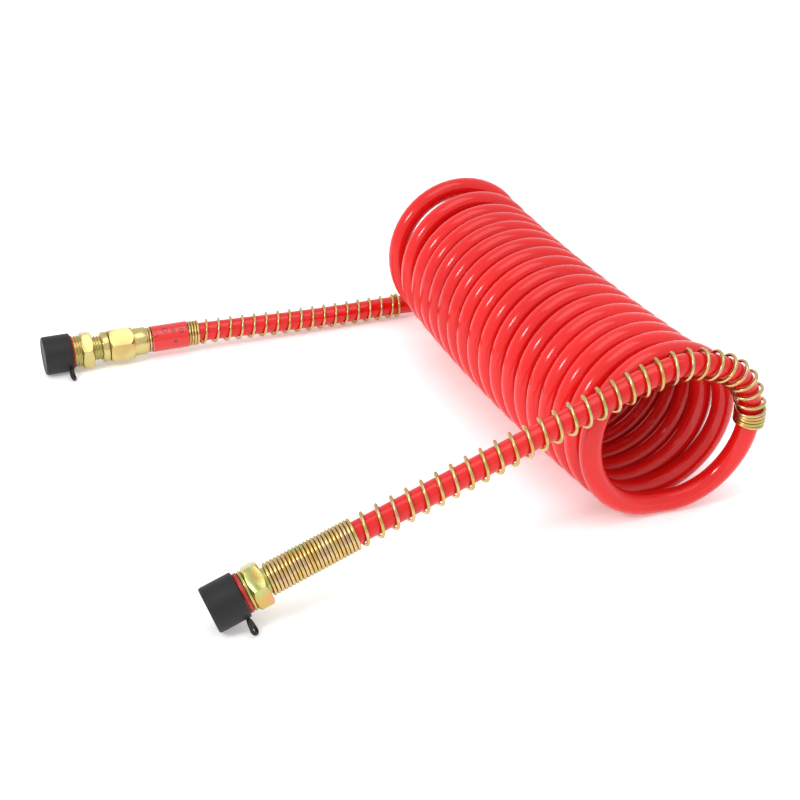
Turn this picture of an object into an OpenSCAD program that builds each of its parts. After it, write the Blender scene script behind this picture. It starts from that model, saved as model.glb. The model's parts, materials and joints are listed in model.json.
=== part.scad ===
// Coiled nylon air hose with two sprung leads, two 1/2 inch pipe-thread ends and rubber dust caps.
// Millimetres. +Z is up, the coil lies along Y and both leads run towards -X.

/* [Hose] */
// Outside diameter of the nylon tube
hose_od = 12.7; // [11:0.1:13]
// Bore of the nylon tube
hose_bore = 9.5; // [8:0.1:10]

/* [Coil] */
// Diameter over the turns
coil_od = 102.7; // [90:0.5:120]
// Distance from one turn to the next in the middle of the coil
turn_pitch = 15; // [13:0.1:18]
// Radius of the coil's gentle sideways bow
bow_r = 1500; // [800:10:4000]

/* [Spring guards] */
// Diameter of the near guard's wire
near_wire = 2; // [1.4:0.1:2.2]
// Space between the hose and the near guard's turns
near_play = 0.75; // [0.4:0.05:1.5]
// Diameter of the far guard's wire
far_wire = 1.8; // [1.4:0.1:1.9]
// Space between the hose and the far guard's turns
far_play = 0.35; // [0.2:0.05:0.6]
// Length of the near guard along the hose
near_guard_len = 326; // [300:1:340]
// Length of the far guard along the hose
far_guard_len = 182; // [150:1:190]
// Close-wound turns on the near fitting
near_closed = 24; // [12:1:30]
// Open turns on the near lead
near_open = 30; // [20:1:36]
// Close-wound turns at the near guard's free end
near_tail = 5; // [2:1:6]
// Close-wound turns on the far fitting
far_closed = 20; // [17:1:22]
// Open turns on the far lead
far_open = 17; // [12:1:22]
// Close-wound turns at the far guard's free end
far_tail = 1; // [1:1:2]

/* [Threaded ends] */
// Outside radius of the taper pipe thread at its small end
thread_r = 10.1; // [9.5:0.05:10.3]
// Thread pitch, 14 to the inch
thread_pitch = 1.814; // [1.2:0.001:2]
// Height of a thread ridge
thread_h = 0.9; // [0.4:0.1:1.2]
// Bore through the fittings
air_bore = 7.8; // [6:0.1:8]
// Width across flats of the near nut and the far adapter's hexagon
hex_af = 22.2; // [21:0.1:24]
// Width across flats of the far body's large hexagon
body_af = 20.6; // [20:0.1:21.5]
// Wall of the far body's neck around the far guard
neck_wall = 0.65; // [0.4:0.05:1.4]

/* [Dust caps] */
// Wall of a cap at its mouth
cap_wall = 1.96; // [1:0.02:3]
// Length of a cap
cap_len = 18.3; // [14:0.1:18.3]
// Thickness of a cap's closed end
cap_end = 2.2; // [1.5:0.1:2.4]
// Space between the thread and the cap's inside
cap_gap = 0.1; // [0.05:0.05:0.3]

/* [Label sleeve] */
// Length of the sleeve
label_len = 24.4; // [15:0.1:26]
// Thickness of the sleeve
label_wall = 0.3; // [0.2:0.05:0.6]

/* [Hidden] */

hose_r = hose_od / 2;
near_guard_r = hose_r + near_play + near_wire / 2;
far_guard_r = hose_r + far_play + far_wire / 2;
ring_r = coil_od / 2 - hose_r;
coil_z = coil_od / 2;
bore_r = air_bore / 2;

// The coil holds turns 0 to 18, counted from the bottom of the far turn.
last_turn = 18;
mid_turn = 8.75;
// The first turn stands this much further off than the rest, and the last turns are drawn in this much.
far_stand_off = 24;
near_draw_in = 6.3;
// The turn behind the last one bulges this much to the side.
bulge = 5;
// The solid coil stands between these two places along its own axis.
solid_far = 112;
solid_near = -128;

// Taper of the pipe thread, on its radius, and where the thread starts behind a cap's outer face.
taper = 1 / 32;
thread_start = 2.6;
cap_bore_r = thread_r + (cap_len - thread_start) * taper + cap_gap;
cap_r = cap_bore_r + cap_wall;

// Centres of the two caps' outer faces, and the way each fitting points, from its cap to the hose.
near_face = [-260, -142, 12];
far_face = [-280, 168, cap_r];
near_way = unit([3, 0, 1]);
far_way = unit([24, -1, 0]);

// The hose leaves the last turn, goes round once more in the open and runs down to the near fitting.
near_points = [
    [21, -134.5, 7.5], [36, -135.5, 13.5], [47, -137, 24], [54, -139, 38], [57, -140, 53], [55, -141, 68],
    [47, -142, 82], [35, -143, 91], [21, -143.5, 96.5], [6, -143.5, 98.5], [-9, -143.5, 96],
    [-20, -143.5, 93], [-35, -143.5, 88], [-50, -143.5, 83], [-80, -143, 73], [-110, -142.5, 62.5],
    [-140, -142, 52],
    [-170, -142, 42], [-200, -142, 32]
];
// It leaves the bottom of the far turn and runs along the ground to the far fitting.
far_points = [
    [-5, 155.9, 7], [-20, 157, 8.5], [-40, 158, 9.2], [-64, 159, 9.2], [-88, 160, 9.4], [-112, 161, 10],
    [-136, 162, 11], [-160, 163, 12], [-184, 164, 12.65], [-208, 165, 12.65]
];

// Stations along each fitting, from the outer face of its cap.
near_collar = 20.7;
near_hex = 23;
near_hex_end = 32;
near_hose = 24;
far_hex = 24.5;
far_hex_end = 32;
collar_start = 38;
collar_end = 43;
body_start = 43.2;
neck_start = 59.5;
neck_end = 68.5;
far_hose = 53;
label_start = 72;
spigot_len = 7;
// How deep the near nut is bored, and how far the near fitting's sleeve reaches into it.
nut_depth = 7.6;
sleeve_len = 4.4;
mouth = 3.8;

// Clearances and small sizes shared by pieces that fit together.
ferrule_wall = 0.9;
slip = 0.05;
fit_gap = 0.1;
collar_r = thread_r + 1;
spigot_r = near_guard_r - near_wire / 2 - slip;
mouth_r = far_guard_r + far_wire / 2 + slip;
socket_r = hose_r + fit_gap;
sleeve_r = socket_r + 1.55;
neck_r = mouth_r + neck_wall;
insert_r = hose_bore / 2 * cos(18) - fit_gap;
flange = 0.5;
rear_thread_r = 8.3;
swivel_r = 10;
stem_r = 7.6;
stem_end = 50;
groove_r = 6.9;
ring_at = 48;
ring_reach = 0.6;
seal_at = 45.5;
seal_r = 0.65;
guard_gap = 0.2;
turn_gap = 0.1;
sealant_gap = 0.05;

// Pull tabs of the dust caps: a strip with a round, pierced end that stands out from the rim.
tab_w = 6.4;
tab_t = 1.8;
tab_hole = 1.5;
tab_neck = 5;
tab_at = cap_r + 6.3;
tab_twist = 30;
near_tab_turn = -42;
far_tab_turn = -60;
// How far each hexagon is turned from standing with a corner straight down.
near_hex_turn = 4;
far_hex_turn = 14;
body_turn = 7;

// Origin: under the middle of the whole object's box, on the ground.
box_x = [far_face[0] + cap_r * far_way[1], max([for (p = near_points) p[0]]) + near_guard_r + near_wire / 2];
box_y = [near_face[1] + tab_at * sin(near_tab_turn) - tab_w / 2, far_face[1] + cap_r];
middle = [(box_x[0] + box_x[1]) / 2, (box_y[0] + box_y[1]) / 2, 0];

function unit(v) = v / norm(v);
function ease(u) = let (c = min(max(u, 0), 1)) c * c * (3 - 2 * c);

// How far turn t has come along the coil's axis, measured from its middle towards the far end.
function along(t) = turn_pitch * (mid_turn - t) + far_stand_off * (1 - ease(t - 0.25))
    + near_draw_in * ease((t - 12.5) / 5);

// Radius of turn t at the tube's centre.
function turn_r(t) = ring_r + (abs(t - 17.25) < 0.25 ? bulge * pow(sin(360 * t), 2) : 0);

// A point of the coil: t turns from the bottom of the far turn, on an axis bowed to radius bow_r.
function coil_point(t) =
    let (a = along(t) / bow_r * 180 / PI, u = turn_r(t) * sin(360 * t), w = -turn_r(t) * cos(360 * t))
    [bow_r - (bow_r - u) * cos(a), (bow_r - u) * sin(a), coil_z + w];

// A smooth curve through points p, with the given number of steps from each to the next.
function blend_point(a, b, c, d, u) =
    (2 * b + (c - a) * u + (2 * a - 5 * b + 4 * c - d) * u * u + (3 * b - a - 3 * c + d) * u * u * u) / 2;
function smooth(p, steps) = let (n = len(p) - 1) concat(
    [for (i = [0:n - 1], k = [0:steps - 1])
        blend_point(p[max(i - 1, 0)], p[i], p[i + 1], p[min(i + 2, n)], k / steps)],
    [p[n]]);

// The two free routes, each from its fitting to the coil.
near_route = concat(
    [near_face + near_way * near_hose, near_face + near_way * 40],
    [for (i = [len(near_points) - 1:-1:0]) near_points[i]],
    [for (t = [last_turn:-1 / 18:last_turn - 0.3]) coil_point(t)]);
far_route = concat(
    [far_face + far_way * far_hose],
    [for (i = [len(far_points) - 1:-1:0]) far_points[i]],
    [for (t = [0:1 / 18:1]) coil_point(t)]);

function tangent(p, i) = unit(p[min(i + 1, len(p) - 1)] - p[max(i - 1, 0)]);
function square_to(v, t) = unit(v - (v * t) * t);

// Length of the line p up to each of its points, as a table for lookup().
function lengths(p) = [for (i = 0, s = 0; i < len(p); i = i + 1,
    s = i < len(p) ? s + norm(p[i] - p[i - 1]) : s) s];
function table(p, s, axis) = [for (i = [0:len(p) - 1]) [s[i], p[i][axis]]];

// A tube of round section swept along p. side holds a direction square to p at each point.
module sweep(p, side, r, sides, hole = 0) {
    n = len(p);
    m = n * sides;
    function ring(i, q) = let (t = tangent(p, i), a = square_to(side[i], t), b = cross(t, a))
        [for (k = [0:sides - 1]) p[i] + q * (cos(360 * k / sides) * a + sin(360 * k / sides) * b)];
    function wall(base, flip) = [for (i = [0:n - 2], k = [0:sides - 1]) let (
        a = base + i * sides + k, b = base + i * sides + (k + 1) % sides,
        f = [a, b, b + sides], g = [a, b + sides, a + sides])
        each flip ? [[f[0], f[1], f[2]], g] : [[f[2], f[1], f[0]], [g[2], g[1], g[0]]]];
    function rim(i, flip) = [for (k = [0:sides - 1]) let (
        a = i * sides + k, b = i * sides + (k + 1) % sides, f = [a, b, b + m], g = [a, b + m, a + m])
        each flip ? [f, g] : [[f[2], f[1], f[0]], [g[2], g[1], g[0]]]];
    outer = [for (i = [0:n - 1]) each ring(i, r)];
    if (hole > 0)
        polyhedron(concat(outer, [for (i = [0:n - 1]) each ring(i, hole)]),
            concat(wall(0, false), wall(m, true), rim(0, true), rim(n - 1, false)), convexity = 10);
    else
        polyhedron(outer, concat(wall(0, false), [[for (k = [0:sides - 1]) k]],
            [[for (k = [sides - 1:-1:0]) m - sides + k]]), convexity = 10);
}

module hose(route) {
    p = smooth(route, 1);
    sweep(p, [for (q = p) [0, 1, 0]], hose_r, 10, hose_bore / 2);
}

// A spring guard round a route: close-wound, open, then close-wound again at its free end.
module spring_guard(route, r, wire, start, closed, opened, tail, length) {
    p = smooth(route, 6);
    s = lengths(p);
    x = table(p, s, 0);
    y = table(p, s, 1);
    z = table(p, s, 2);
    function at(u) = [lookup(u, x), lookup(u, y), lookup(u, z)];
    tight = wire + turn_gap;
    pitch = (length - (closed + tail) * tight) / opened;
    function reach(u) = start + tight * min(u, closed) + pitch * min(max(u - closed, 0), opened)
        + tight * max(u - closed - opened, 0);
    steps = 10;
    turns = [for (i = [0:(closed + opened + tail) * steps]) i / steps];
    core = [for (u = turns) at(reach(u))];
    arm = [for (u = turns) let (
        t = unit(at(reach(u) + 1) - at(reach(u) - 1)), a = square_to([0, 1, 0], t), b = cross(t, a))
        cos(360 * u) * a - sin(360 * u) * b];
    sweep([for (i = [0:len(core) - 1]) core[i] + r * arm[i]], arm, wire / 2, 4);
}

module at_near() {
    translate(near_face) rotate([0, acos(near_way[2]), 0]) children();
}

module at_far() {
    translate(far_face) rotate([0, 90, atan2(far_way[1], far_way[0])]) children();
}

module ring(r_out, r_in, from, to) {
    translate([0, 0, from]) difference() {
        cylinder(r = r_out, h = to - from, $fn = 96);
        translate([0, 0, -1]) cylinder(r = r_in, h = to - from + 2, $fn = 96);
    }
}

// A hexagon of width af across its flats, with its corners turned down to a cone at both ends.
module hexagon(af, from, to, turn, chamfer_from = 1.4, chamfer_to = 1.4) {
    corner = af / sqrt(3);
    intersection() {
        translate([0, 0, from]) rotate([0, 0, turn]) cylinder(r = corner, h = to - from, $fn = 6);
        rotate_extrude($fn = 96)
            polygon([[0, from], [af / 2 - 0.2, from], [corner + 0.1, from + chamfer_from],
                [corner + 0.1, to - chamfer_to], [af / 2 - 0.2, to], [0, to]]);
    }
}

// Thread ridges from one station to another on a taper that widens by 1 in 16.
module thread_ridges(r, from, to, widen) {
    count = floor((to - from) / thread_pitch);
    function edge(z) = r + (z - from) * widen;
    rotate_extrude($fn = 96) polygon(concat(
        [[bore_r, from], [edge(from) - thread_h, from]],
        [for (i = [0:count - 1], k = [0, 1]) let (z = from + (i + 0.3 + 0.45 * k) * thread_pitch)
            each k == 0 ? [[edge(z) - thread_h, z - 0.2 * thread_pitch], [edge(z), z]]
                : [[edge(z), z - 0.25 * thread_pitch], [edge(z) - thread_h, z]]],
        [[edge(to) - thread_h, to], [bore_r, to]]));
}

module dust_cap(tab_turn) {
    color([0.1, 0.1, 0.1]) {
        difference() {
            rotate_extrude($fn = 96)
                polygon([[0, 0], [cap_r - 0.8, 0], [cap_r, 0.8], [cap_r, cap_len - 0.4],
                    [cap_r - 0.4, cap_len], [0, cap_len]]);
            translate([0, 0, cap_end]) cylinder(r = cap_bore_r, h = cap_len, $fn = 96);
        }
        rotate([0, 0, tab_turn]) translate([0, 0, cap_len - tab_w * sin(tab_twist) / 2 - tab_t / 2])
            rotate([tab_twist, 0, 0]) difference() {
                union() {
                    translate([cap_r - 0.6, -tab_neck / 2, -tab_t / 2 + 0.1])
                        cube([tab_at - cap_r, tab_neck, tab_t - 0.2]);
                    translate([tab_at, 0, -tab_t / 2]) cylinder(r = tab_w / 2, h = tab_t, $fn = 48);
                }
                translate([tab_at, 0, -tab_t]) cylinder(r = tab_hole, h = 2 * tab_t, $fn = 48);
            }
    }
}

module tube_insert(station, depth) {
    color([0.78, 0.66, 0.3]) difference() {
        union() {
            translate([0, 0, station]) cylinder(r = insert_r, h = depth, $fn = 72);
            translate([0, 0, station - flange]) cylinder(r = hose_r, h = flange, $fn = 72);
        }
        translate([0, 0, station - 1]) cylinder(r = insert_r - 0.5, h = depth + 2, $fn = 72);
    }
}

module hose_coil() {
    color([0.9, 0.16, 0.12]) translate([bow_r, 0, coil_z])
        rotate([0, 0, 180 - solid_far / bow_r * 180 / PI])
            rotate_extrude(angle = (solid_far - solid_near) / bow_r * 180 / PI, $fn = 720)
                translate([bow_r, 0]) difference() {
                    circle(r = coil_z, $fn = 96);
                    circle(r = coil_z - hose_od, $fn = 96);
                }
}

module near_lead() {
    color([0.9, 0.16, 0.12]) hose(near_route);
}

module far_lead() {
    color([0.9, 0.16, 0.12]) hose(far_route);
}

module near_spring_guard() {
    color([0.8, 0.7, 0.42])
        spring_guard(near_route, near_guard_r, near_wire, near_hex_end - near_hose + guard_gap + near_wire / 2,
            near_closed, near_open, near_tail, near_guard_len);
}

module far_spring_guard() {
    color([0.8, 0.7, 0.42])
        spring_guard(far_route, far_guard_r, far_wire, neck_end - mouth - far_hose + guard_gap + far_wire / 2,
            far_closed, far_open, far_tail, far_guard_len);
}

module near_nut() {
    color([0.8, 0.68, 0.3]) at_near() difference() {
        union() {
            hexagon(hex_af, near_hex, near_hex_end, near_hex_turn);
            translate([0, 0, near_hex_end]) cylinder(r = spigot_r, h = spigot_len, $fn = 72);
        }
        translate([0, 0, near_hex - 1]) cylinder(r = sleeve_r + slip, h = 1 + nut_depth, $fn = 96);
        translate([0, 0, near_hex]) cylinder(r = socket_r, h = near_hex_end, $fn = 72);
    }
}

module near_fitting_body() {
    color([0.84, 0.7, 0.28]) at_near() {
        thread_ridges(thread_r, thread_start, near_collar + 1, taper);
        difference() {
            union() {
                rotate_extrude($fn = 96)
                    polygon([[0, near_collar], [collar_r - 0.8, near_collar], [collar_r, near_collar + 0.7],
                        [collar_r, near_hex - 0.7], [collar_r - 0.7, near_hex], [0, near_hex]]);
                translate([0, 0, near_hex]) cylinder(r = sleeve_r, h = sleeve_len, $fn = 96);
            }
            translate([0, 0, near_collar - 1]) cylinder(r = bore_r, h = 20, $fn = 72);
            translate([0, 0, near_hose - flange]) cylinder(r = socket_r, h = 20, $fn = 72);
        }
    }
}

module near_ferrule() {
    color([0.75, 0.6, 0.3]) at_near()
        ring(sleeve_r, socket_r, near_hex + sleeve_len + fit_gap, near_hex + nut_depth - fit_gap);
}

module near_tube_insert() {
    at_near() tube_insert(near_hose, 22);
}

module near_thread_sealant() {
    r = thread_r + (near_collar - thread_start) * taper + sealant_gap;
    color([0.75, 0.12, 0.08]) at_near() ring(r + 0.5, r, cap_len + 0.1, near_collar - 0.1);
}

module near_dust_cap() {
    at_near() dust_cap(near_tab_turn);
}

module far_label_sleeve() {
    r = far_guard_r + far_wire / 2 + sealant_gap;
    color([0.85, 0.12, 0.1]) at_far() ring(r + label_wall, r, label_start, label_start + label_len);
}

module far_swivel_body() {
    color([0.8, 0.74, 0.45]) at_far() difference() {
        union() {
            hexagon(body_af, body_start, neck_start, body_turn, 1.6, 3);
            rotate_extrude($fn = 96)
                polygon([[0, neck_start - 1], [neck_r, neck_start - 1], [neck_r, neck_end - 0.7],
                    [neck_r - 0.5, neck_end], [0, neck_end]]);
        }
        translate([0, 0, body_start - 1]) cylinder(r = stem_r + slip, h = 8.5, $fn = 96);
        translate([0, 0, ring_at - 0.2])
            cylinder(r = stem_r + slip + ring_reach + fit_gap, h = 1.4, $fn = 96);
        translate([0, 0, body_start]) cylinder(r = bore_r, h = 12, $fn = 72);
        translate([0, 0, far_hose - flange]) cylinder(r = socket_r, h = 40, $fn = 72);
        translate([0, 0, neck_start + 0.5]) cylinder(r = hose_r + ferrule_wall + slip, h = 4.2, $fn = 72);
        translate([0, 0, neck_end - mouth]) cylinder(r = mouth_r, h = mouth + 1, $fn = 96);
    }
}

module far_ferrule() {
    color([0.75, 0.6, 0.3]) at_far()
        ring(hose_r + ferrule_wall, socket_r, neck_start + 0.6, neck_start + 4.6);
}

module far_tube_insert() {
    at_far() tube_insert(far_hose, 19);
}

module far_swivel_collar() {
    color([0.8, 0.74, 0.45]) at_far() difference() {
        union() {
            rotate_extrude($fn = 96)
                polygon([[0, collar_start], [swivel_r - 0.8, collar_start], [swivel_r, collar_start + 0.8],
                    [swivel_r, collar_end - 0.6], [swivel_r - 0.6, collar_end], [0, collar_end]]);
            translate([0, 0, collar_end]) cylinder(r = stem_r, h = stem_end - collar_end, $fn = 96);
        }
        translate([0, 0, collar_start - 1]) cylinder(r = bore_r, h = 20, $fn = 72);
        translate([0, 0, collar_start - 1]) cylinder(r = rear_thread_r + slip, h = 4, $fn = 96);
        ring(stem_r + 1, stem_r - 2 * seal_r, seal_at - seal_r - slip, seal_at + seal_r + slip);
        ring(stem_r + 1, groove_r - slip, ring_at - slip, ring_at + 1 + slip);
    }
}

module far_swivel_seal() {
    color([0.08, 0.08, 0.08]) at_far() translate([0, 0, seal_at]) rotate_extrude($fn = 96)
        translate([stem_r - seal_r, 0]) circle(r = seal_r - 0.02, $fn = 32);
}

module far_retaining_ring() {
    color([0.7, 0.7, 0.72]) at_far() difference() {
        ring(stem_r + ring_reach, groove_r, ring_at, ring_at + 1);
        translate([0, -1.5, ring_at - 1]) cube([20, 3, 3]);
    }
}

module far_adapter() {
    color([0.84, 0.72, 0.32]) at_far() {
        thread_ridges(thread_r, thread_start, far_hex + 1, taper);
        difference() {
            hexagon(hex_af, far_hex, far_hex_end, far_hex_turn, 1.6, 1.6);
            translate([0, 0, far_hex - 1]) cylinder(r = bore_r, h = 20, $fn = 72);
        }
        thread_ridges(rear_thread_r, far_hex_end - 1, collar_start + 2.9, 0);
    }
}

module far_thread_sealant() {
    r = thread_r + (cap_len + 1.2 - thread_start) * taper + sealant_gap;
    color([0.75, 0.12, 0.08]) at_far() ring(r + 0.3, r, cap_len + 0.1, cap_len + 1.1);
}

module far_dust_cap() {
    at_far() dust_cap(far_tab_turn);
}

translate(-middle) {
    hose_coil();
    near_lead();
    far_lead();
    near_spring_guard();
    near_nut();
    near_fitting_body();
    near_ferrule();
    near_tube_insert();
    near_thread_sealant();
    near_dust_cap();
    far_spring_guard();
    far_label_sleeve();
    far_swivel_body();
    far_ferrule();
    far_tube_insert();
    far_swivel_collar();
    far_swivel_seal();
    far_retaining_ring();
    far_adapter();
    far_thread_sealant();
    far_dust_cap();
}
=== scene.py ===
# %% [markdown]
# # A coiled air hose
#
# A recoil hose is one length of nylon tube wound into a tight coil. It hangs out of the way until someone
# pulls on it. This lesson models it over a finished engineering frame. Its places are measured from that
# frame's mounts, its sizes repeat the frame's, and it only makes the surfaces that a viewer sees.

# %% Load the frame
import json
import math

import bmesh
import bpy
from mathutils import Matrix, Vector
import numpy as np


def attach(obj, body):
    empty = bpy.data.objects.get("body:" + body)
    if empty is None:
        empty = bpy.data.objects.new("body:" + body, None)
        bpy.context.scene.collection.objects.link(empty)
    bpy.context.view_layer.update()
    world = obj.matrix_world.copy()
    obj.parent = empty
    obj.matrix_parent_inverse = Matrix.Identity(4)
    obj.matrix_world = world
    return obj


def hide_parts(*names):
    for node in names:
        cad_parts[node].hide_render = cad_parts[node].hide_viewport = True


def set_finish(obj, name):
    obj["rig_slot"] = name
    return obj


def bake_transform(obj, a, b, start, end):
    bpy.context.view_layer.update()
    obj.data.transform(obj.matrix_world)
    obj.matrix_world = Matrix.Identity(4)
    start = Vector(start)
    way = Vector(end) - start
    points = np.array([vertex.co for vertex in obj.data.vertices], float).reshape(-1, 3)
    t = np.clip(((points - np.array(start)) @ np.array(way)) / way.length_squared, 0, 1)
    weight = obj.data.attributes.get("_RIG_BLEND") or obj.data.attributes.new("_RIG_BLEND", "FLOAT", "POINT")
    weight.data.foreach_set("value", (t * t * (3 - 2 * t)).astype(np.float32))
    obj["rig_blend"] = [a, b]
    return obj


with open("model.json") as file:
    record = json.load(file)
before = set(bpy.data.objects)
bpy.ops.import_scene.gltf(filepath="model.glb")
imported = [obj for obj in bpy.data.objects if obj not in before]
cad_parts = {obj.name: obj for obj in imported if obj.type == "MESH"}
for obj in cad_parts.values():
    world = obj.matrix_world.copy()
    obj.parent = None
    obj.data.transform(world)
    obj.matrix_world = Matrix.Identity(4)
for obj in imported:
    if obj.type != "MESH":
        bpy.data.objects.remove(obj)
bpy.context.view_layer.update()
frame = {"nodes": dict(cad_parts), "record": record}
mounts = {mount["name"]: mount for mount in frame["record"]["mounts"]}
print("pieces in the frame:", len(frame["nodes"]))

# %% [markdown]
# ## Where the two ends lie
#
# Each threaded end has a mount on its axis, 11 mm from the outer face of its dust cap. The mount's axis
# points out of the fitting, so the opposite way leads back along the hose. The hose's own points are easiest
# to read from the middle of its coil, so one shift carries them from there to the frame's origin.

# %% Places of the two ends
MM = 0.001
MOUNT_AT = 11 * MM
NEAR_FACE_FROM_COIL = Vector((-0.260, -0.142, 0.012))
DOWN = Vector((0, 0, -1))
near_way = -Vector(mounts["near_thread"]["axis"])
far_way = -Vector(mounts["far_thread"]["axis"])
near_face = Vector(mounts["near_thread"]["pos_m"]) - near_way * MOUNT_AT
far_face = Vector(mounts["far_thread"]["pos_m"]) - far_way * MOUNT_AT
from_coil = near_face - NEAR_FACE_FROM_COIL
print("coil's middle stands at", [round(x, 4) for x in from_coil])


def on_near(station):
    """A point on the near fitting's axis, so many metres from its cap's outer face."""
    return near_face + near_way * station


def on_far(station):
    """A point on the far fitting's axis, so many metres from its cap's outer face."""
    return far_face + far_way * station


def axis_place(face, way, side):
    """The matrix that stands a piece made along Z on a fitting's axis, its X towards side."""
    x = (side - way * side.dot(way)).normalized()
    return Matrix.Translation(face) @ Matrix((x, way.cross(x), way)).transposed().to_4x4()


near_place = axis_place(near_face, near_way, DOWN)
far_place = axis_place(far_face, far_way, DOWN)

# %% [markdown]
# ## The camera
#
# The view is from the near end, a little to the left and above, with a moderately long lens so that the
# coil's turns shrink only slightly with distance.

# %% Camera
camera = bpy.data.objects.new("camera", bpy.data.cameras.new("camera"))
camera.location = from_coil + Vector((-0.4206, -0.7765, 0.4911))
camera.rotation_euler = (math.radians(61.09), 0, math.radians(-22.68))
camera.data.lens = 71.3
camera.data.sensor_width = 36
camera.data.clip_start = 0.01
bpy.context.scene.collection.objects.link(camera)
bpy.context.scene.camera = camera

# %% [markdown]
# ## The route of the hose
#
# The coil is a helix, so its turns come from a formula: a circle that moves along an axis with a slight bow.
# The far turns stand off from the rest, and the near ones are drawn in against each other. The frame's coil
# makes its stand-off within one turn. Here it is spread over nearly three, so the second far turn lies up to
# 12 mm from the frame's and its neighbours less. The two leads lie free, so their points are listed and a
# smooth curve is drawn through them.

# %% Coil formula
HOSE_R = 6.35 * MM
HOSE_BORE_R = 4.75 * MM
RING_R = 45 * MM
COIL_Z = 51.35 * MM
TURN_PITCH = 15 * MM
MID_TURN = 8.75
LAST_TURN = 18
FAR_STAND_OFF = 24 * MM
FAR_EASE_START, FAR_EASE_TURNS = -0.2, 2.8
NEAR_DRAW_IN = 6.3 * MM
NEAR_EASE_START, NEAR_EASE_TURNS = 12.5, 5
BULGE = 5 * MM
BULGE_TURN = 17.25
BOW_R = 1.5


def ease(u):
    """0 before 0, 1 after 1, and smooth between."""
    u = min(max(u, 0), 1)
    return u * u * (3 - 2 * u)


def along(t):
    """How far turn t has come along the coil's axis."""
    place = TURN_PITCH * (MID_TURN - t) + FAR_STAND_OFF * (1 - ease((t - FAR_EASE_START) / FAR_EASE_TURNS))
    return place + NEAR_DRAW_IN * ease((t - NEAR_EASE_START) / NEAR_EASE_TURNS)


def turn_radius(t):
    """The radius of turn t. The last turn bulges a little on its +X side."""
    return RING_R + (BULGE * math.sin(math.tau * t) ** 2 if abs(t - BULGE_TURN) < 0.25 else 0)


def coil_point(t):
    """The hose's centre, t turns from the bottom of the far turn."""
    bow = along(t) / BOW_R
    reach = BOW_R - turn_radius(t) * math.sin(math.tau * t)
    height = COIL_Z - turn_radius(t) * math.cos(math.tau * t)
    return from_coil + Vector((BOW_R - reach * math.cos(bow), reach * math.sin(bow), height))


# %% Leads, and the whole route
NEAR_POINTS = [
    (0.021, -0.1345, 0.0075), (0.036, -0.1355, 0.0135), (0.047, -0.137, 0.024), (0.054, -0.139, 0.038),
    (0.057, -0.140, 0.053), (0.055, -0.141, 0.068), (0.047, -0.142, 0.082), (0.035, -0.143, 0.091),
    (0.021, -0.1435, 0.0965), (0.006, -0.1435, 0.0985), (-0.009, -0.1435, 0.096), (-0.020, -0.1435, 0.093),
    (-0.035, -0.1435, 0.088), (-0.050, -0.1435, 0.083), (-0.080, -0.143, 0.073), (-0.110, -0.1425, 0.0625),
    (-0.140, -0.142, 0.052), (-0.170, -0.142, 0.042), (-0.200, -0.142, 0.032),
]
FAR_POINTS = [
    (-0.005, 0.1559, 0.007), (-0.020, 0.157, 0.0085), (-0.040, 0.158, 0.0092), (-0.064, 0.159, 0.0092),
    (-0.088, 0.160, 0.0094), (-0.112, 0.161, 0.010), (-0.136, 0.162, 0.011), (-0.160, 0.163, 0.012),
    (-0.184, 0.164, 0.01265), (-0.208, 0.165, 0.01265),
]
NEAR_HOSE_END = 24 * MM
FAR_HOSE_END = 53 * MM
COIL_STEPS = 18


def smooth(points, steps):
    """Points along a smooth curve through the given ones."""
    found = []
    for i in range(len(points) - 1):
        a, b = points[max(i - 1, 0)], points[i]
        c, d = points[i + 1], points[min(i + 2, len(points) - 1)]
        for k in range(steps):
            u = k / steps
            found.append((2 * b + (c - a) * u + (2 * a - 5 * b + 4 * c - d) * u * u
                          + (3 * b - a - 3 * c + d) * u * u * u) / 2)
    return found + [points[-1]]


near_lead = [on_near(NEAR_HOSE_END), on_near(40 * MM)]
near_lead += [from_coil + Vector(p) for p in reversed(NEAR_POINTS)]
coil_turns = [LAST_TURN - k / COIL_STEPS for k in range(LAST_TURN * COIL_STEPS + 1)]
far_lead = [from_coil + Vector(p) for p in FAR_POINTS] + [on_far(FAR_HOSE_END)]
hose_points = near_lead + [coil_point(t) for t in coil_turns] + far_lead
ROUTE_STEPS = 3
hose_route = smooth(hose_points, ROUTE_STEPS)


def run_lengths(points):
    """The length of the line of points up to each of them."""
    total = [0.0]
    for a, b in zip(points, points[1:]):
        total.append(total[-1] + (b - a).length)
    return total


# %% [markdown]
# ## A tube along a route
#
# A cord or a spring is a small circle carried along a line. Each step extrudes the last ring of edges and
# turns the new ring to face along the line. The ring's first corner always keeps to the same side of the
# coil, so the tube never twists, even where it goes round eighteen times. Three values are left on every
# corner: how far along the tube it is and which side of the tube it is on, which materials can read, and the
# number of its ring, which the hose's movement reads.

# %% Tube maker
COIL_AXIS = Vector((0, 1, 0))


def put_in_scene(bm, name, place):
    """Makes a piece of a bmesh and lays it in place."""
    bmesh.ops.transform(bm, matrix=place, verts=bm.verts)
    mesh = bpy.data.meshes.new(name)
    bm.to_mesh(mesh)
    bm.free()
    piece = bpy.data.objects.new(name, mesh)
    bpy.context.scene.collection.objects.link(piece)
    return piece


def smooth_faces(piece, sharp):
    """Shades a piece smooth, but for edges that turn by more than so many degrees."""
    piece.data.shade_smooth()
    piece.data.set_sharp_from_angle(angle=math.radians(sharp))


def verts_in(geometry):
    """The corners among what an operator made."""
    return [g for g in geometry if isinstance(g, bmesh.types.BMVert)]


def edges_between(geometry, verts):
    """The edges among what an operator made that run between these corners."""
    return [g for g in geometry if isinstance(g, bmesh.types.BMEdge) and all(v in verts for v in g.verts)]


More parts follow.
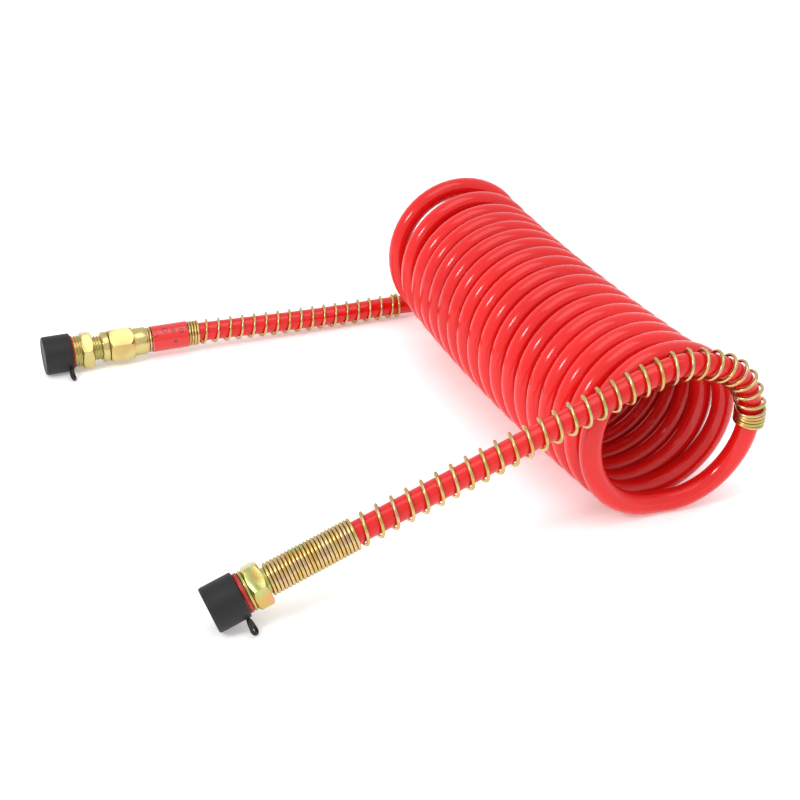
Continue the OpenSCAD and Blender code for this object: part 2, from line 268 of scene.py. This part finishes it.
def ring_place(points, sides, i):
    """The matrix of the ring at point i: Z along the line, X on the given side."""
    ahead = (points[min(i + 1, len(points) - 1)] - points[max(i - 1, 0)]).normalized()
    x = (sides[i] - ahead * sides[i].dot(ahead)).normalized()
    return Matrix.Translation(points[i]) @ Matrix((x, ahead.cross(x), ahead)).transposed().to_4x4()


def draw_tube(name, points, sides, radius, corners, bore=0.0):
    """A tube of round section along points, its ends closed. A bore marks the tube's wall on each end."""
    bm = bmesh.new()
    run = bm.verts.layers.float.new("run")
    turn = bm.verts.layers.float_vector.new("turn")
    ring_number = bm.verts.layers.int.new("ring")
    total = run_lengths(points)
    place = ring_place(points, sides, 0)
    bmesh.ops.create_circle(bm, segments=corners, radius=radius, matrix=place)
    verts, edges = list(bm.verts), list(bm.edges)
    first_ring = edges
    for i in range(len(points)):
        if i:
            grown = bmesh.ops.extrude_edge_only(bm, edges=edges)["geom"]
            verts = verts_in(grown)
            edges = edges_between(grown, verts)
            last, place = place, ring_place(points, sides, i)
            bmesh.ops.transform(bm, matrix=place @ last.inverted(), verts=verts)
        out = place.inverted()
        for v in verts:
            local = out @ v.co
            v[run] = total[i]
            v[turn] = (local.x / radius, local.y / radius, 0)
            v[ring_number] = i
    for end in (first_ring, edges):
        if bore:
            inner = bmesh.ops.extrude_edge_only(bm, edges=end)["geom"]
            rim = verts_in(inner)
            centre = sum((v.co for v in rim), Vector()) / len(rim)
            bmesh.ops.scale(bm, vec=(bore / radius,) * 3, space=Matrix.Translation(-centre), verts=rim)
            bmesh.ops.contextual_create(bm, geom=edges_between(inner, rim))
        else:
            bmesh.ops.contextual_create(bm, geom=end)
    bmesh.ops.recalc_face_normals(bm, faces=bm.faces)
    piece = put_in_scene(bm, name, Matrix())
    smooth_faces(piece, 50)
    return piece


# %% [markdown]
# ## The hose
#
# The whole hose is one piece, from the barb in the near fitting to the barb in the far one. When the far end
# is drawn away, every turn of the coil opens by the same amount. So each ring of the tube takes a share of
# the movement that grows evenly with its turn number, and the whole ring shares one value, which keeps the
# tube round however far the coil is pulled.

# %% Hose
hose_sides = [COIL_AXIS] * len(hose_route)
hose = draw_tube("hose", hose_route, hose_sides, HOSE_R, 24, bore=HOSE_BORE_R)
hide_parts("hose_coil", "near_lead", "far_lead")
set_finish(hose, "red_nylon")
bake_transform(hose, "near_end", "far_end", start=coil_point(LAST_TURN), end=coil_point(0))
coil_start = ROUTE_STEPS * len(near_lead)
coil_rings = ROUTE_STEPS * COIL_STEPS * LAST_TURN
share = hose.data.attributes["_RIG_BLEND"].data
for corner, ring in enumerate(hose.data.attributes["ring"].data):
    share[corner].value = min(max((ring.value - coil_start) / coil_rings, 0), 1)
print("rings along the hose:", len(hose_route))

# %% [markdown]
# ## The spring guards
#
# A spring round each lead stops the hose kinking at its fitting. It is close-wound where the fitting holds
# it, then open so that it bends with the hose, then close-wound again at its free end. Its wire is the same
# kind of tube, drawn along a circle that travels along the hose.

# %% Spring guards
TURN_GAP = 0.1 * MM
WIRE_STEPS = 24


def point_at(points, runs, wanted):
    """The point at the wanted length along a line of points, whose lengths so far are in runs."""
    i = next((k for k in range(len(runs) - 1) if runs[k + 1] >= wanted), len(runs) - 2)
    return points[i].lerp(points[i + 1], (wanted - runs[i]) / (runs[i + 1] - runs[i]))


def spring(name, points, radius, wire_d, start, turns, length):
    """A spring guard. turns are how many turns are close-wound, open and close-wound again."""
    closed, opened, tail = turns
    runs = run_lengths(points)
    tight = wire_d + TURN_GAP
    pitch = (length - (closed + tail) * tight) / opened
    wire, arms = [], []
    for k in range(sum(turns) * WIRE_STEPS + 1):
        u = k / WIRE_STEPS
        s = start + tight * min(u, closed) + pitch * min(max(u - closed, 0), opened)
        s += tight * max(u - closed - opened, 0)
        centre = point_at(points, runs, s)
        ahead = (point_at(points, runs, s + MM) - point_at(points, runs, s - MM)).normalized()
        a = (COIL_AXIS - ahead * COIL_AXIS.dot(ahead)).normalized()
        arm = a * math.cos(math.tau * u) - ahead.cross(a) * math.sin(math.tau * u)
        wire.append(centre + arm * radius)
        arms.append(arm)
    return draw_tube(name, wire, arms, wire_d / 2, 8)


near_spring = spring("near_spring", hose_route, radius=8.1 * MM, wire_d=2 * MM, start=9.2 * MM,
                     turns=(24, 30, 5), length=326 * MM)
far_spring = spring("far_spring", hose_route[::-1], radius=7.6 * MM, wire_d=1.8 * MM, start=12.8 * MM,
                    turns=(20, 17, 1), length=182 * MM)
for guard, body, node in ((near_spring, "near_end", "near_spring_guard"),
                          (far_spring, "far_end", "far_spring_guard")):
    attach(guard, body)
    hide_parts(node)
    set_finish(guard, "zinc_spring")
print("spring triangles:", sum(2 * len(s.data.polygons) for s in (near_spring, far_spring)))

# %% [markdown]
# ## Turned pieces
#
# Most of a pipe fitting is made on a lathe, and a spin is a lathe: half an outline goes once round the axis.
# Each piece is made standing on Z and then laid on its fitting's axis, with its place in its mesh.

# %% Lathe and finishing helpers
LATHE_STEPS = 96
SOFT_EDGE = 0.12 * MM
HEX_EDGE = 0.15 * MM
SHARP_FROM = 32


def lathe(outline):
    """A bmesh of the closed outline of (radius, station) pairs in millimetres, spun round Z."""
    bm = bmesh.new()
    corners = [bm.verts.new((r * MM, 0, z * MM)) for r, z in outline]
    edges = [bm.edges.new((a, b)) for a, b in zip(corners, corners[1:] + corners[:1])]
    bmesh.ops.spin(bm, geom=corners + edges, axis=(0, 0, 1), cent=(0, 0, 0), angle=math.tau,
                   steps=LATHE_STEPS, use_merge=True)
    bmesh.ops.remove_doubles(bm, verts=bm.verts, dist=1e-6)
    bmesh.ops.recalc_face_normals(bm, faces=bm.faces)
    return bm


def soften(piece, width, segments=2, sharp=40):
    """Rounds a piece's hard edges a little and smooths the rest."""
    edge = piece.modifiers.new("edge", "BEVEL")
    edge.width = width
    edge.segments = segments
    edge.limit_method = "ANGLE"
    edge.angle_limit = math.radians(sharp)
    edge.use_clamp_overlap = True
    edge.harden_normals = False
    piece.data.shade_smooth()
    apply_modifiers(piece)
    piece.data.set_sharp_from_angle(angle=math.radians(SHARP_FROM))


def apply_modifiers(piece):
    """Replaces a piece's mesh with what its modifiers make of it."""
    bpy.context.view_layer.update()
    shaped = bpy.data.meshes.new_from_object(piece.evaluated_get(bpy.context.evaluated_depsgraph_get()))
    piece.modifiers.clear()
    piece.data = shaped


def belongs(piece, body, slot, *nodes):
    """Says which body a piece rides on, its finish's slot and the frame's nodes that it stands for."""
    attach(piece, body)
    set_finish(piece, slot)
    if nodes:
        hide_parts(*nodes)


# %% [markdown]
# ## Hexagons
#
# A wrench hexagon is a six-sided bar whose corners a lathe has turned down to a cone, which leaves a curved
# line on every flat. Meeting a six-sided bar with a turned blank gives that line exactly as the lathe does.

# %% Hexagon helper
def hexagon(name, across_flats, outline, turn, place):
    """A turned blank cut down to a hexagon. turn is how far it is turned from a corner straight down."""
    blank = put_in_scene(lathe(outline), name, Matrix())
    low = min(z for r, z in outline) * MM
    high = max(z for r, z in outline) * MM
    bar = bmesh.new()
    corner_r = across_flats * MM / math.sqrt(3)
    bmesh.ops.create_cone(bar, cap_ends=True, segments=6, radius1=corner_r, radius2=corner_r,
                          depth=high - low + 2 * MM)
    spot = Matrix.Translation((0, 0, (low + high) / 2)) @ Matrix.Rotation(math.radians(turn), 4, "Z")
    first = min(bar.verts, key=lambda v: (v.co.x, v.co.y)).co
    to_corner = Matrix.Rotation(math.pi - math.atan2(first.y, first.x), 4, "Z")
    cutter = put_in_scene(bar, name + "_bar", spot @ to_corner)
    cut = blank.modifiers.new("hexagon", "BOOLEAN")
    cut.operation = "INTERSECT"
    cut.solver = "EXACT"
    cut.object = cutter
    apply_modifiers(blank)
    bpy.data.objects.remove(cutter)
    blank.data.transform(place)
    return blank


# %% [markdown]
# ## Pipe threads
#
# A taper pipe thread is one groove that winds round the fitting, a little wider at each turn. A screw is a
# spin that also moves along the axis. The strip is cut off square at both ends and joined to the bore.

# %% Thread helper
THREAD_R = 10.1
THREAD_H = 0.9
THREAD_PITCH = 1.814
THREAD_START = 2.6
PIPE_TAPER = 1 / 32
AIR_BORE_R = 3.9
THREAD_STEPS = 64


def thread(name, radius, start, end, taper, place):
    """A threaded, bored length from one station to another, in millimetres."""
    turns = math.ceil((end - start) / THREAD_PITCH) + 2
    bm = bmesh.new()
    root = radius - THREAD_H
    shape = [(root, 0), (radius, 0.3), (radius, 0.5), (root, 0.8), (root, 1)]
    low = start - THREAD_PITCH * 1.5
    corners = [bm.verts.new((r * MM, 0, (low + THREAD_PITCH * u) * MM)) for r, u in shape]
    edges = [bm.edges.new((a, b)) for a, b in zip(corners, corners[1:])]
    rise = THREAD_PITCH * MM / THREAD_STEPS
    bmesh.ops.spin(bm, geom=corners + edges, axis=(0, 0, 1), cent=(0, 0, 0), dvec=(0, 0, rise),
                   angle=math.tau * turns, steps=THREAD_STEPS * turns, use_merge=False)
    bmesh.ops.remove_doubles(bm, verts=bm.verts, dist=2e-6)
    for v in bm.verts:
        wider = 1 + (v.co.z / MM - start) * taper / radius
        v.co.x, v.co.y = v.co.x * wider, v.co.y * wider
    for z, outward in ((start, -1), (end, 1)):
        bmesh.ops.bisect_plane(bm, geom=bm.verts[:] + bm.edges[:] + bm.faces[:], dist=1e-7,
                               plane_co=(0, 0, z * MM), plane_no=(0, 0, outward), clear_outer=True)
        rim = [e for e in bm.edges if e.is_boundary and all(abs(v.co.z - z * MM) < 1e-6 for v in e.verts)]
        hole = bmesh.ops.create_circle(bm, segments=THREAD_STEPS, radius=AIR_BORE_R * MM,
                                       matrix=Matrix.Translation((0, 0, z * MM)))["verts"]
        hole_edges = list({e for v in hole for e in v.link_edges})
        bmesh.ops.bridge_loops(bm, edges=rim + hole_edges)
    open_edges = [e for e in bm.edges if e.is_boundary]
    bmesh.ops.bridge_loops(bm, edges=open_edges)
    bmesh.ops.recalc_face_normals(bm, faces=bm.faces)
    piece = put_in_scene(bm, name, place)
    smooth_faces(piece, 28)
    return piece


def join(name, pieces):
    """Several pieces made one, under one name."""
    bm = bmesh.new()
    for piece in pieces:
        bm.from_mesh(piece.data)
    joined = put_in_scene(bm, name, Matrix())
    smooth_faces(joined, SHARP_FROM)
    for piece in pieces:
        bpy.data.objects.remove(piece)
    return joined


# %% [markdown]
# ## The near fitting
#
# The near end does not turn. Its thread runs up to a chamfered collar, and a hexagon nut behind the collar
# draws the ferrule onto the hose. The spring is pushed over the nut's tail.

# %% Near fitting
NEAR_THREAD_END = 20.7
HOSE_SOCKET_R = 6.45
PIPE_HEX = 22.2
collar = put_in_scene(lathe([
    (AIR_BORE_R, 20.7), (10.3, 20.7), (11.1, 21.4), (11.1, 22.3), (10.4, 23), (8, 23), (8, 27.4),
    (HOSE_SOCKET_R, 27.4), (HOSE_SOCKET_R, 23.5), (AIR_BORE_R, 23.5)]), "near_collar", near_place)
soften(collar, SOFT_EDGE)
near_thread = thread("near_thread_turns", THREAD_R, THREAD_START, NEAR_THREAD_END, PIPE_TAPER, near_place)
near_body = join("near_body", [near_thread, collar])
belongs(near_body, "near_end", "gold_brass", "near_fitting_body")
near_nut = hexagon("near_hexagon", PIPE_HEX, [
    (8.05, 23), (10.9, 23), (12.95, 24.4), (12.95, 30.6), (10.9, 32), (HOSE_SOCKET_R, 32),
    (HOSE_SOCKET_R, 30.6), (8.05, 30.6)], 4, near_place)
soften(near_nut, HEX_EDGE)
nut_tail = put_in_scene(lathe([
    (HOSE_SOCKET_R, 31.8), (7.05, 31.8), (7.05, 38.6), (6.9, 39), (HOSE_SOCKET_R, 39)]),
    "near_tail", near_place)
near_nut = join("near_nut_turned", [near_nut, nut_tail])
belongs(near_nut, "near_end", "gold_brass", "near_nut")
print("near fitting faces:", len(near_body.data.polygons) + len(near_nut.data.polygons))

# %% [markdown]
# ## The far fitting
#
# The far end swivels. A short adapter with a thread at each end and a thin hexagon between them screws into a
# round collar, and the collar turns in the mouth of the large hexagon body that holds the hose.

# %% Far fitting
FRONT_THREAD_END = 24.7
adapter_front = thread("front_thread", THREAD_R, THREAD_START, FRONT_THREAD_END, PIPE_TAPER, far_place)
adapter_back = thread("back_thread", 8.3, 31.8, 40.9, 0, far_place)
adapter_hex = hexagon("adapter_hexagon", PIPE_HEX, [
    (AIR_BORE_R, 24.5), (10.9, 24.5), (12.95, 26.1), (12.95, 30.4), (10.9, 32), (AIR_BORE_R, 32)],
    14, far_place)
soften(adapter_hex, HEX_EDGE)
adapter = join("far_adapter_turned", [adapter_front, adapter_back, adapter_hex])
belongs(adapter, "swivel_end", "pale_brass", "far_adapter")
swivel_collar = put_in_scene(lathe([
    (8.35, 38), (9.2, 38), (10, 38.8), (10, 42.4), (9.4, 43), (7.6, 43), (7.6, 44.8), (6.3, 44.8),
    (6.3, 46.2), (7.6, 46.2), (7.6, 47.95), (6.85, 47.95), (6.85, 49.05), (7.6, 49.05), (7.6, 50),
    (AIR_BORE_R, 50), (AIR_BORE_R, 41), (8.35, 41)]), "far_collar_turned", far_place)
soften(swivel_collar, SOFT_EDGE)
belongs(swivel_collar, "swivel_end", "pale_brass", "far_swivel_collar")
far_hex = hexagon("far_hexagon", 20.6, [
    (7.65, 43.2), (10.1, 43.2), (12, 44.8), (12, 56.5), (10.1, 59.5), (HOSE_SOCKET_R, 59.5),
    (HOSE_SOCKET_R, 52.5), (AIR_BORE_R, 52.5), (AIR_BORE_R, 50.5), (7.65, 50.5)], 7, far_place)
soften(far_hex, HEX_EDGE)
far_neck = put_in_scene(lathe([(HOSE_SOCKET_R, 59.3), (9.2, 59.3), (9.2, 67.6), (8.7, 68.5), (8.55, 68.5),
                               (8.55, 64.7), (HOSE_SOCKET_R, 64.7)]), "far_neck", far_place)
soften(far_neck, SOFT_EDGE)
far_body = join("far_body_turned", [far_hex, far_neck])
belongs(far_body, "far_end", "pale_brass", "far_swivel_body")
print("far fitting faces:", sum(len(piece.data.polygons) for piece in (adapter, swivel_collar, far_body)))

# %% [markdown]
# ## Dust caps
#
# A moulded rubber cap is a cup with soft edges. A pierced tab sticks out of its rim to pull it off by. Soft
# rubber seldom lies flat, so the tab is turned to lean out of the rim's plane.

# %% Dust caps
TAB_R, TAB_HOLE_R, TAB_THICK = 3.2 * MM, 1.55 * MM, 1.8 * MM
TAB_ROOT_LENGTH, TAB_ROOT_WIDTH = 2.1, 0.86
TAB_PLACE = Vector((18.95 * MM, 0, 15.8 * MM))
TAB_LEAN = 30


def dust_cap(name, place, turn):
    """A cap and its pull tab, the tab standing out at the given turn round the rim."""
    cup = put_in_scene(lathe([
        (0, 0.35), (9.9, 0.35), (10.3, 0), (11.6, 0), (12.3, 0.3), (12.65, 1.1), (12.65, 17.5), (12.35, 18.1),
        (11.9, 18.3), (11.1, 18.3), (10.69, 17.9), (10.69, 2.2), (0, 2.2)]), name + "_cup", place)
    soften(cup, 0.25 * MM, 3, 20)
    bm = bmesh.new()
    outer = bmesh.ops.create_circle(bm, segments=40, radius=TAB_R)["verts"]
    for v in outer:
        if v.co.x < 0:
            v.co.x *= TAB_ROOT_LENGTH
            v.co.y *= TAB_ROOT_WIDTH
    hole = bmesh.ops.create_circle(bm, segments=40, radius=TAB_HOLE_R)["verts"]
    edges = list({e for v in outer + hole for e in v.link_edges})
    bmesh.ops.bridge_loops(bm, edges=edges)
    thick = bmesh.ops.extrude_face_region(bm, geom=bm.faces[:])["geom"]
    bmesh.ops.translate(bm, vec=(0, 0, TAB_THICK), verts=verts_in(thick))
    bmesh.ops.translate(bm, vec=(0, 0, -TAB_THICK / 2), verts=bm.verts)
    bmesh.ops.recalc_face_normals(bm, faces=bm.faces)
    stand = Matrix.Rotation(math.radians(turn), 4, "Z") @ Matrix.Translation(TAB_PLACE)
    tab = put_in_scene(bm, name + "_tab", place @ stand @ Matrix.Rotation(math.radians(TAB_LEAN), 4, "X"))
    soften(tab, 0.55 * MM, 3, 50)
    return join(name, [cup, tab])


near_cap = dust_cap("near_cap_moulded", near_place, -42)
belongs(near_cap, "near_cap", "black_rubber", "near_dust_cap")
far_cap = dust_cap("far_cap_moulded", far_place, -60)
belongs(far_cap, "far_cap", "black_rubber", "far_dust_cap")
print("cap faces:", len(near_cap.data.polygons), len(far_cap.data.polygons))

# %% [markdown]
# ## Sealant
#
# Thread sealant is a paste that squeezes out in a bead behind the cap. Here the bead is an even ring, and its
# rough finish stands in for the unevenness of a real one.

# %% Sealant beads
BEAD_INNER_R = 10.75


def sealant(name, place, low, high, outer):
    """A bead of dried paste round the thread, between two stations."""
    middle = (low + high) / 2
    shoulder = outer - 0.35
    outline = [(BEAD_INNER_R, low), (shoulder, low), (outer, middle), (shoulder, high), (BEAD_INNER_R, high)]
    bead = put_in_scene(lathe(outline), name, place)
    soften(bead, 0.2 * MM, 2, 20)
    return bead


near_bead = sealant("near_bead", near_place, 18.4, 20.6, 11.25)
belongs(near_bead, "near_end", "red_sealant", "near_thread_sealant")
far_bead = sealant("far_bead", far_place, 18.4, 19.4, 11)
belongs(far_bead, "swivel_end", "red_sealant", "far_thread_sealant")

# %% [markdown]
# ## Printed sleeve
#
# A thin printed film is shrunk round the close-wound turns of the far spring, so it follows them slightly.

# %% Sleeve
SLEEVE_START, SLEEVE_END, SLEEVE_R = 72, 96.4, 8.55
FILM, RIB_DEPTH, RIB_PITCH, STATIONS = 0.3, 0.06, 1.9, 52
stations = [SLEEVE_START + (SLEEVE_END - SLEEVE_START) * k / STATIONS for k in range(STATIONS + 1)]
outside = [(SLEEVE_R + FILM - RIB_DEPTH * (1 + math.cos(math.tau * (z - SLEEVE_START) / RIB_PITCH)), z)
           for z in stations]
inside = [(SLEEVE_R, SLEEVE_END), (SLEEVE_R, SLEEVE_START)]
sleeve = put_in_scene(lathe(outside + inside), "printed_sleeve", far_place)
smooth_faces(sleeve, 50)
belongs(sleeve, "far_end", "label_sleeve", "far_label_sleeve")

# %% [markdown]
# ## The pieces on the hose
#
# The pieces that ride on the hose are gathered in one list, so that they get their finishes with it.

on_hose = [near_spring, far_spring, near_nut, near_body, far_body, adapter, swivel_collar, sleeve,
           near_cap, far_cap, near_bead, far_bead]

# %% [markdown]
# ## Finishes
#
# Every finish is a small node tree on one shader. The patterns are solid ones, so they read the piece's own
# coordinates and stay put on the surface from every side.

# %% Material helpers
def finish(name, **values):
    """A new material and its shader, with the shader's own sockets set."""
    material = bpy.data.materials.new(name)
    material.use_nodes = True
    shader = material.node_tree.nodes["Principled BSDF"]
    for socket, value in values.items():
        shader.inputs[socket.replace("_", " ")].default_value = value
    return material, shader


def node(material, kind, **settings):
    """A new node of a material, with its settings."""
    made = material.node_tree.nodes.new(kind)
    for key, value in settings.items():
        setattr(made, key, value)
    return made


def wire(material, source, target):
    """Links two sockets."""
    material.node_tree.links.new(source, target)


def noise(material, scale, detail):
    """A noise value on the piece's own coordinates."""
    place = node(material, "ShaderNodeTexCoord")
    made = node(material, "ShaderNodeTexNoise")
    made.inputs["Scale"].default_value = scale
    made.inputs["Detail"].default_value = detail
    wire(material, place.outputs["Object"], made.inputs["Vector"])
    return made.outputs["Fac"]


def colours(material, value, stops):
    """A colour for each value, by stops of (value, colour)."""
    ramp = node(material, "ShaderNodeValToRGB")
    points = ramp.color_ramp.elements
    while len(points) < len(stops):
        points.new(0.5)
    for point, (where, colour) in zip(points, stops):
        point.position = where
        point.color = (*colour, 1)
    wire(material, value, ramp.inputs["Fac"])
    return ramp.outputs["Color"]


def roughen(material, shader, value, strength, distance):
    """A bump from a value."""
    bump = node(material, "ShaderNodeBump")
    bump.inputs["Strength"].default_value = strength
    bump.inputs["Distance"].default_value = distance
    wire(material, value, bump.inputs["Height"])
    wire(material, bump.outputs["Normal"], shader.inputs["Normal"])


def math_node(material, operation, a, b=None):
    """One step of arithmetic on values or sockets."""
    made = node(material, "ShaderNodeMath", operation=operation)
    for socket, value in zip(made.inputs, (a, b)):
        if isinstance(value, (int, float)):
            socket.default_value = value
        elif value is not None:
            wire(material, value, socket)
    return made.outputs["Value"]


MIX_A, MIX_B, MIX_RESULT = 6, 7, 2


def mix(material, amount, a, b):
    """A colour between a and b. Either may be a socket or a colour."""
    made = node(material, "ShaderNodeMix", data_type="RGBA")
    wire(material, amount, made.inputs["Factor"])
    for socket, value in ((made.inputs[MIX_A], a), (made.inputs[MIX_B], b)):
        if isinstance(value, tuple):
            socket.default_value = (*value, 1)
        else:
            wire(material, value, socket)
    return made.outputs[MIX_RESULT]


# %% [markdown]
# ## Red nylon
#
# The tube is glossy and coloured right through, so one strong red does most of the work. A thin clear coat
# gives the crisp highlights. Real hose carries faint print along one side, and a row of small dark specks
# that comes and goes stands in for it.

# %% Nylon
PRINT_SIDE, PRINT_HALF_WIDTH = 0.15, 0.13
WORDS_PER_METRE, WORD_SHARE = 3.1, 0.2
SPECK_FROM, PRINT_DARKNESS = 0.56, 0.55


def nylon():
    """Red nylon, with a row of specks that comes and goes along one side."""
    material, shader = finish("red nylon", Roughness=0.16, IOR=1.42, Coat_Weight=0.15, Coat_Roughness=0.05)
    tone = colours(material, noise(material, 14, 2),
                   [(0.3, (0.64, 0.006, 0.006)), (0.7, (0.74, 0.010, 0.009))])
    run = node(material, "ShaderNodeAttribute", attribute_name="run").outputs["Fac"]
    turn = node(material, "ShaderNodeAttribute", attribute_name="turn").outputs["Vector"]
    split = node(material, "ShaderNodeSeparateXYZ")
    wire(material, turn, split.inputs["Vector"])
    row = math_node(material, "ABSOLUTE", math_node(material, "SUBTRACT", split.outputs["X"], PRINT_SIDE))
    strip = math_node(material, "LESS_THAN", row, PRINT_HALF_WIDTH)
    upper = math_node(material, "GREATER_THAN", split.outputs["Y"], 0)
    speck = math_node(material, "GREATER_THAN", noise(material, 700, 1), SPECK_FROM)
    repeat = math_node(material, "FRACT", math_node(material, "MULTIPLY", run, WORDS_PER_METRE))
    word = math_node(material, "LESS_THAN", repeat, WORD_SHARE)
    mark = math_node(material, "MULTIPLY", math_node(material, "MULTIPLY", strip, upper),
                     math_node(material, "MULTIPLY", speck, word))
    amount = math_node(material, "MULTIPLY", mark, PRINT_DARKNESS)
    wire(material, mix(material, amount, tone, (0.12, 0.01, 0.01)), shader.inputs["Base Color"])
    roughen(material, shader, noise(material, 160, 2), 0.05, 0.0004)
    return material


# %% [markdown]
# ## Plated metal
#
# Zinc plating is passivated in a bath that leaves a thin film, and its hue drifts from pink through gold to
# green with its thickness. A colour ramp over a slow noise gives that drift. Bare brass drifts less.

# %% Plated and bare metal
def plated(name, scale, stops, roughness, strength=0.08):
    """Metal with a coloured film that drifts from hue to hue."""
    material, shader = finish(name, Metallic=1.0, Roughness=roughness)
    wire(material, colours(material, noise(material, scale, 3), stops), shader.inputs["Base Color"])
    roughen(material, shader, noise(material, 900, 4), strength, 0.0002)
    return material


GOLD, STRAW, LEAF, BLUSH = (0.60, 0.36, 0.11), (0.60, 0.48, 0.22), (0.40, 0.45, 0.15), (0.56, 0.32, 0.22)
zinc = plated("zinc plated wire", 120,
              [(0.30, BLUSH), (0.45, STRAW), (0.55, GOLD), (0.66, LEAF), (0.78, STRAW)], 0.24)
gold = plated("gold passivated steel", 95,
              [(0.30, BLUSH), (0.42, GOLD), (0.54, LEAF), (0.70, STRAW)], 0.24, 0.15)
pale = plated("pale brass", 60,
              [(0.30, (0.52, 0.37, 0.14)), (0.50, (0.60, 0.50, 0.20)), (0.70, (0.50, 0.48, 0.18))], 0.24)
plain = plated("plain brass", 50, [(0.3, (0.74, 0.52, 0.22)), (0.7, (0.80, 0.62, 0.30))], 0.34)
steel = plated("spring steel", 50, [(0.3, (0.48, 0.48, 0.50)), (0.7, (0.60, 0.60, 0.62))], 0.3)

# %% [markdown]
# ## Rubber, paste and film
#
# The caps are dull moulded rubber with a fine grain. The sealant is a rough dried paste. The sleeve's film is
# smooth, with small dark rings in place of its print.

# %% Rubber, paste and film
RING_SIZE, RING_LINE = 0.30, 0.055


def rubber(name, grey, roughness):
    """Dull black rubber, a little lighter in places."""
    material, shader = finish(name, Roughness=roughness, IOR=1.36)
    tone = colours(material, noise(material, 70, 4),
                   [(0.3, (grey * 0.8,) * 3), (0.7, (grey * 1.25, grey * 1.2, grey * 1.2))])
    wire(material, tone, shader.inputs["Base Color"])
    roughen(material, shader, noise(material, 1500, 3), 0.12, 0.0002)
    return material


def paste():
    """Dried sealant, dark red and rough."""
    material, shader = finish("dried sealant", Roughness=0.4, IOR=1.5)
    tone = colours(material, noise(material, 300, 3),
                   [(0.3, (0.26, 0.006, 0.004)), (0.7, (0.50, 0.014, 0.008))])
    wire(material, tone, shader.inputs["Base Color"])
    roughen(material, shader, noise(material, 500, 3), 0.6, 0.0005)
    return material


def film():
    """The sleeve's glossy red film, with a scatter of dark rings."""
    material, shader = finish("printed film", Roughness=0.2, IOR=1.5, Coat_Weight=0.4, Coat_Roughness=0.08)
    tone = colours(material, noise(material, 40, 2),
                   [(0.3, (0.60, 0.008, 0.007)), (0.7, (0.68, 0.012, 0.009))])
    place = node(material, "ShaderNodeTexCoord")
    spots = node(material, "ShaderNodeTexVoronoi", feature="F1")
    spots.inputs["Scale"].default_value = 170
    spots.inputs["Randomness"].default_value = 0.35
    wire(material, place.outputs["Object"], spots.inputs["Vector"])
    reach = math_node(material, "SUBTRACT", spots.outputs["Distance"], RING_SIZE)
    mark = math_node(material, "LESS_THAN", math_node(material, "ABSOLUTE", reach), RING_LINE)
    wire(material, mix(material, mark, tone, (0.22, 0.01, 0.01)), shader.inputs["Base Color"])
    return material


# %% Give each piece its finish
FINISHES = {"red_nylon": nylon(), "zinc_spring": zinc, "gold_brass": gold, "pale_brass": pale,
            "plain_brass": plain, "ring_steel": steel, "black_rubber": rubber("moulded rubber", 0.012, 0.5),
            "seal_rubber": rubber("seal rubber", 0.015, 0.5), "red_sealant": paste(), "label_sleeve": film()}
slots = {part["node"]: part["material_slot"] for part in frame["record"]["subparts"]}
for name, piece in frame["nodes"].items():
    piece.data.materials.clear()
    piece.data.materials.append(FINISHES[slots[name]])
for piece in [hose] + on_hose:
    piece.data.materials.clear()
    piece.data.materials.append(FINISHES[piece["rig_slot"]])
print("finishes given out:", len(FINISHES))

# %% [markdown]
# ## Studio
#
# A pale floor under a white sky, a broad soft light above and a small one from the side give the short
# highlights on the hose. The floor glows a little, as a lit studio table does, so the shadow stays faint.

# %% Floor, sky and lights
floor_bm = bmesh.new()
bmesh.ops.create_grid(floor_bm, x_segments=1, y_segments=1, size=20)
floor = put_in_scene(floor_bm, "floor", Matrix())
floor_paint, _ = finish("floor paint", Base_Color=(0.96, 0.96, 0.96, 1), Roughness=0.6,
                        Emission_Color=(1, 1, 1, 1), Emission_Strength=0.22)
floor.data.materials.append(floor_paint)
world = bpy.data.worlds.new("sky")
bpy.context.scene.world = world
world.use_nodes = True
world.node_tree.nodes["Background"].inputs["Color"].default_value = (1, 1, 1, 1)
world.node_tree.nodes["Background"].inputs["Strength"].default_value = 0.95
bpy.context.scene.view_settings.view_transform = "Standard"


def soft_light(name, place, target, size, power):
    """A square area light that faces a target."""
    lamp = bpy.data.objects.new(name, bpy.data.lights.new(name, "AREA"))
    lamp.data.size = size
    lamp.data.energy = power
    lamp.location = place
    lamp.rotation_euler = (Vector(target) - Vector(place)).to_track_quat("-Z", "Y").to_euler()
    bpy.context.scene.collection.objects.link(lamp)


soft_light("overhead", (0.1, -0.2, 1.3), (0, 0, 0), 0.9, 4)
soft_light("left_front", (-1.1, -0.5, 1.0), (0, 0, 0.05), 0.28, 7)
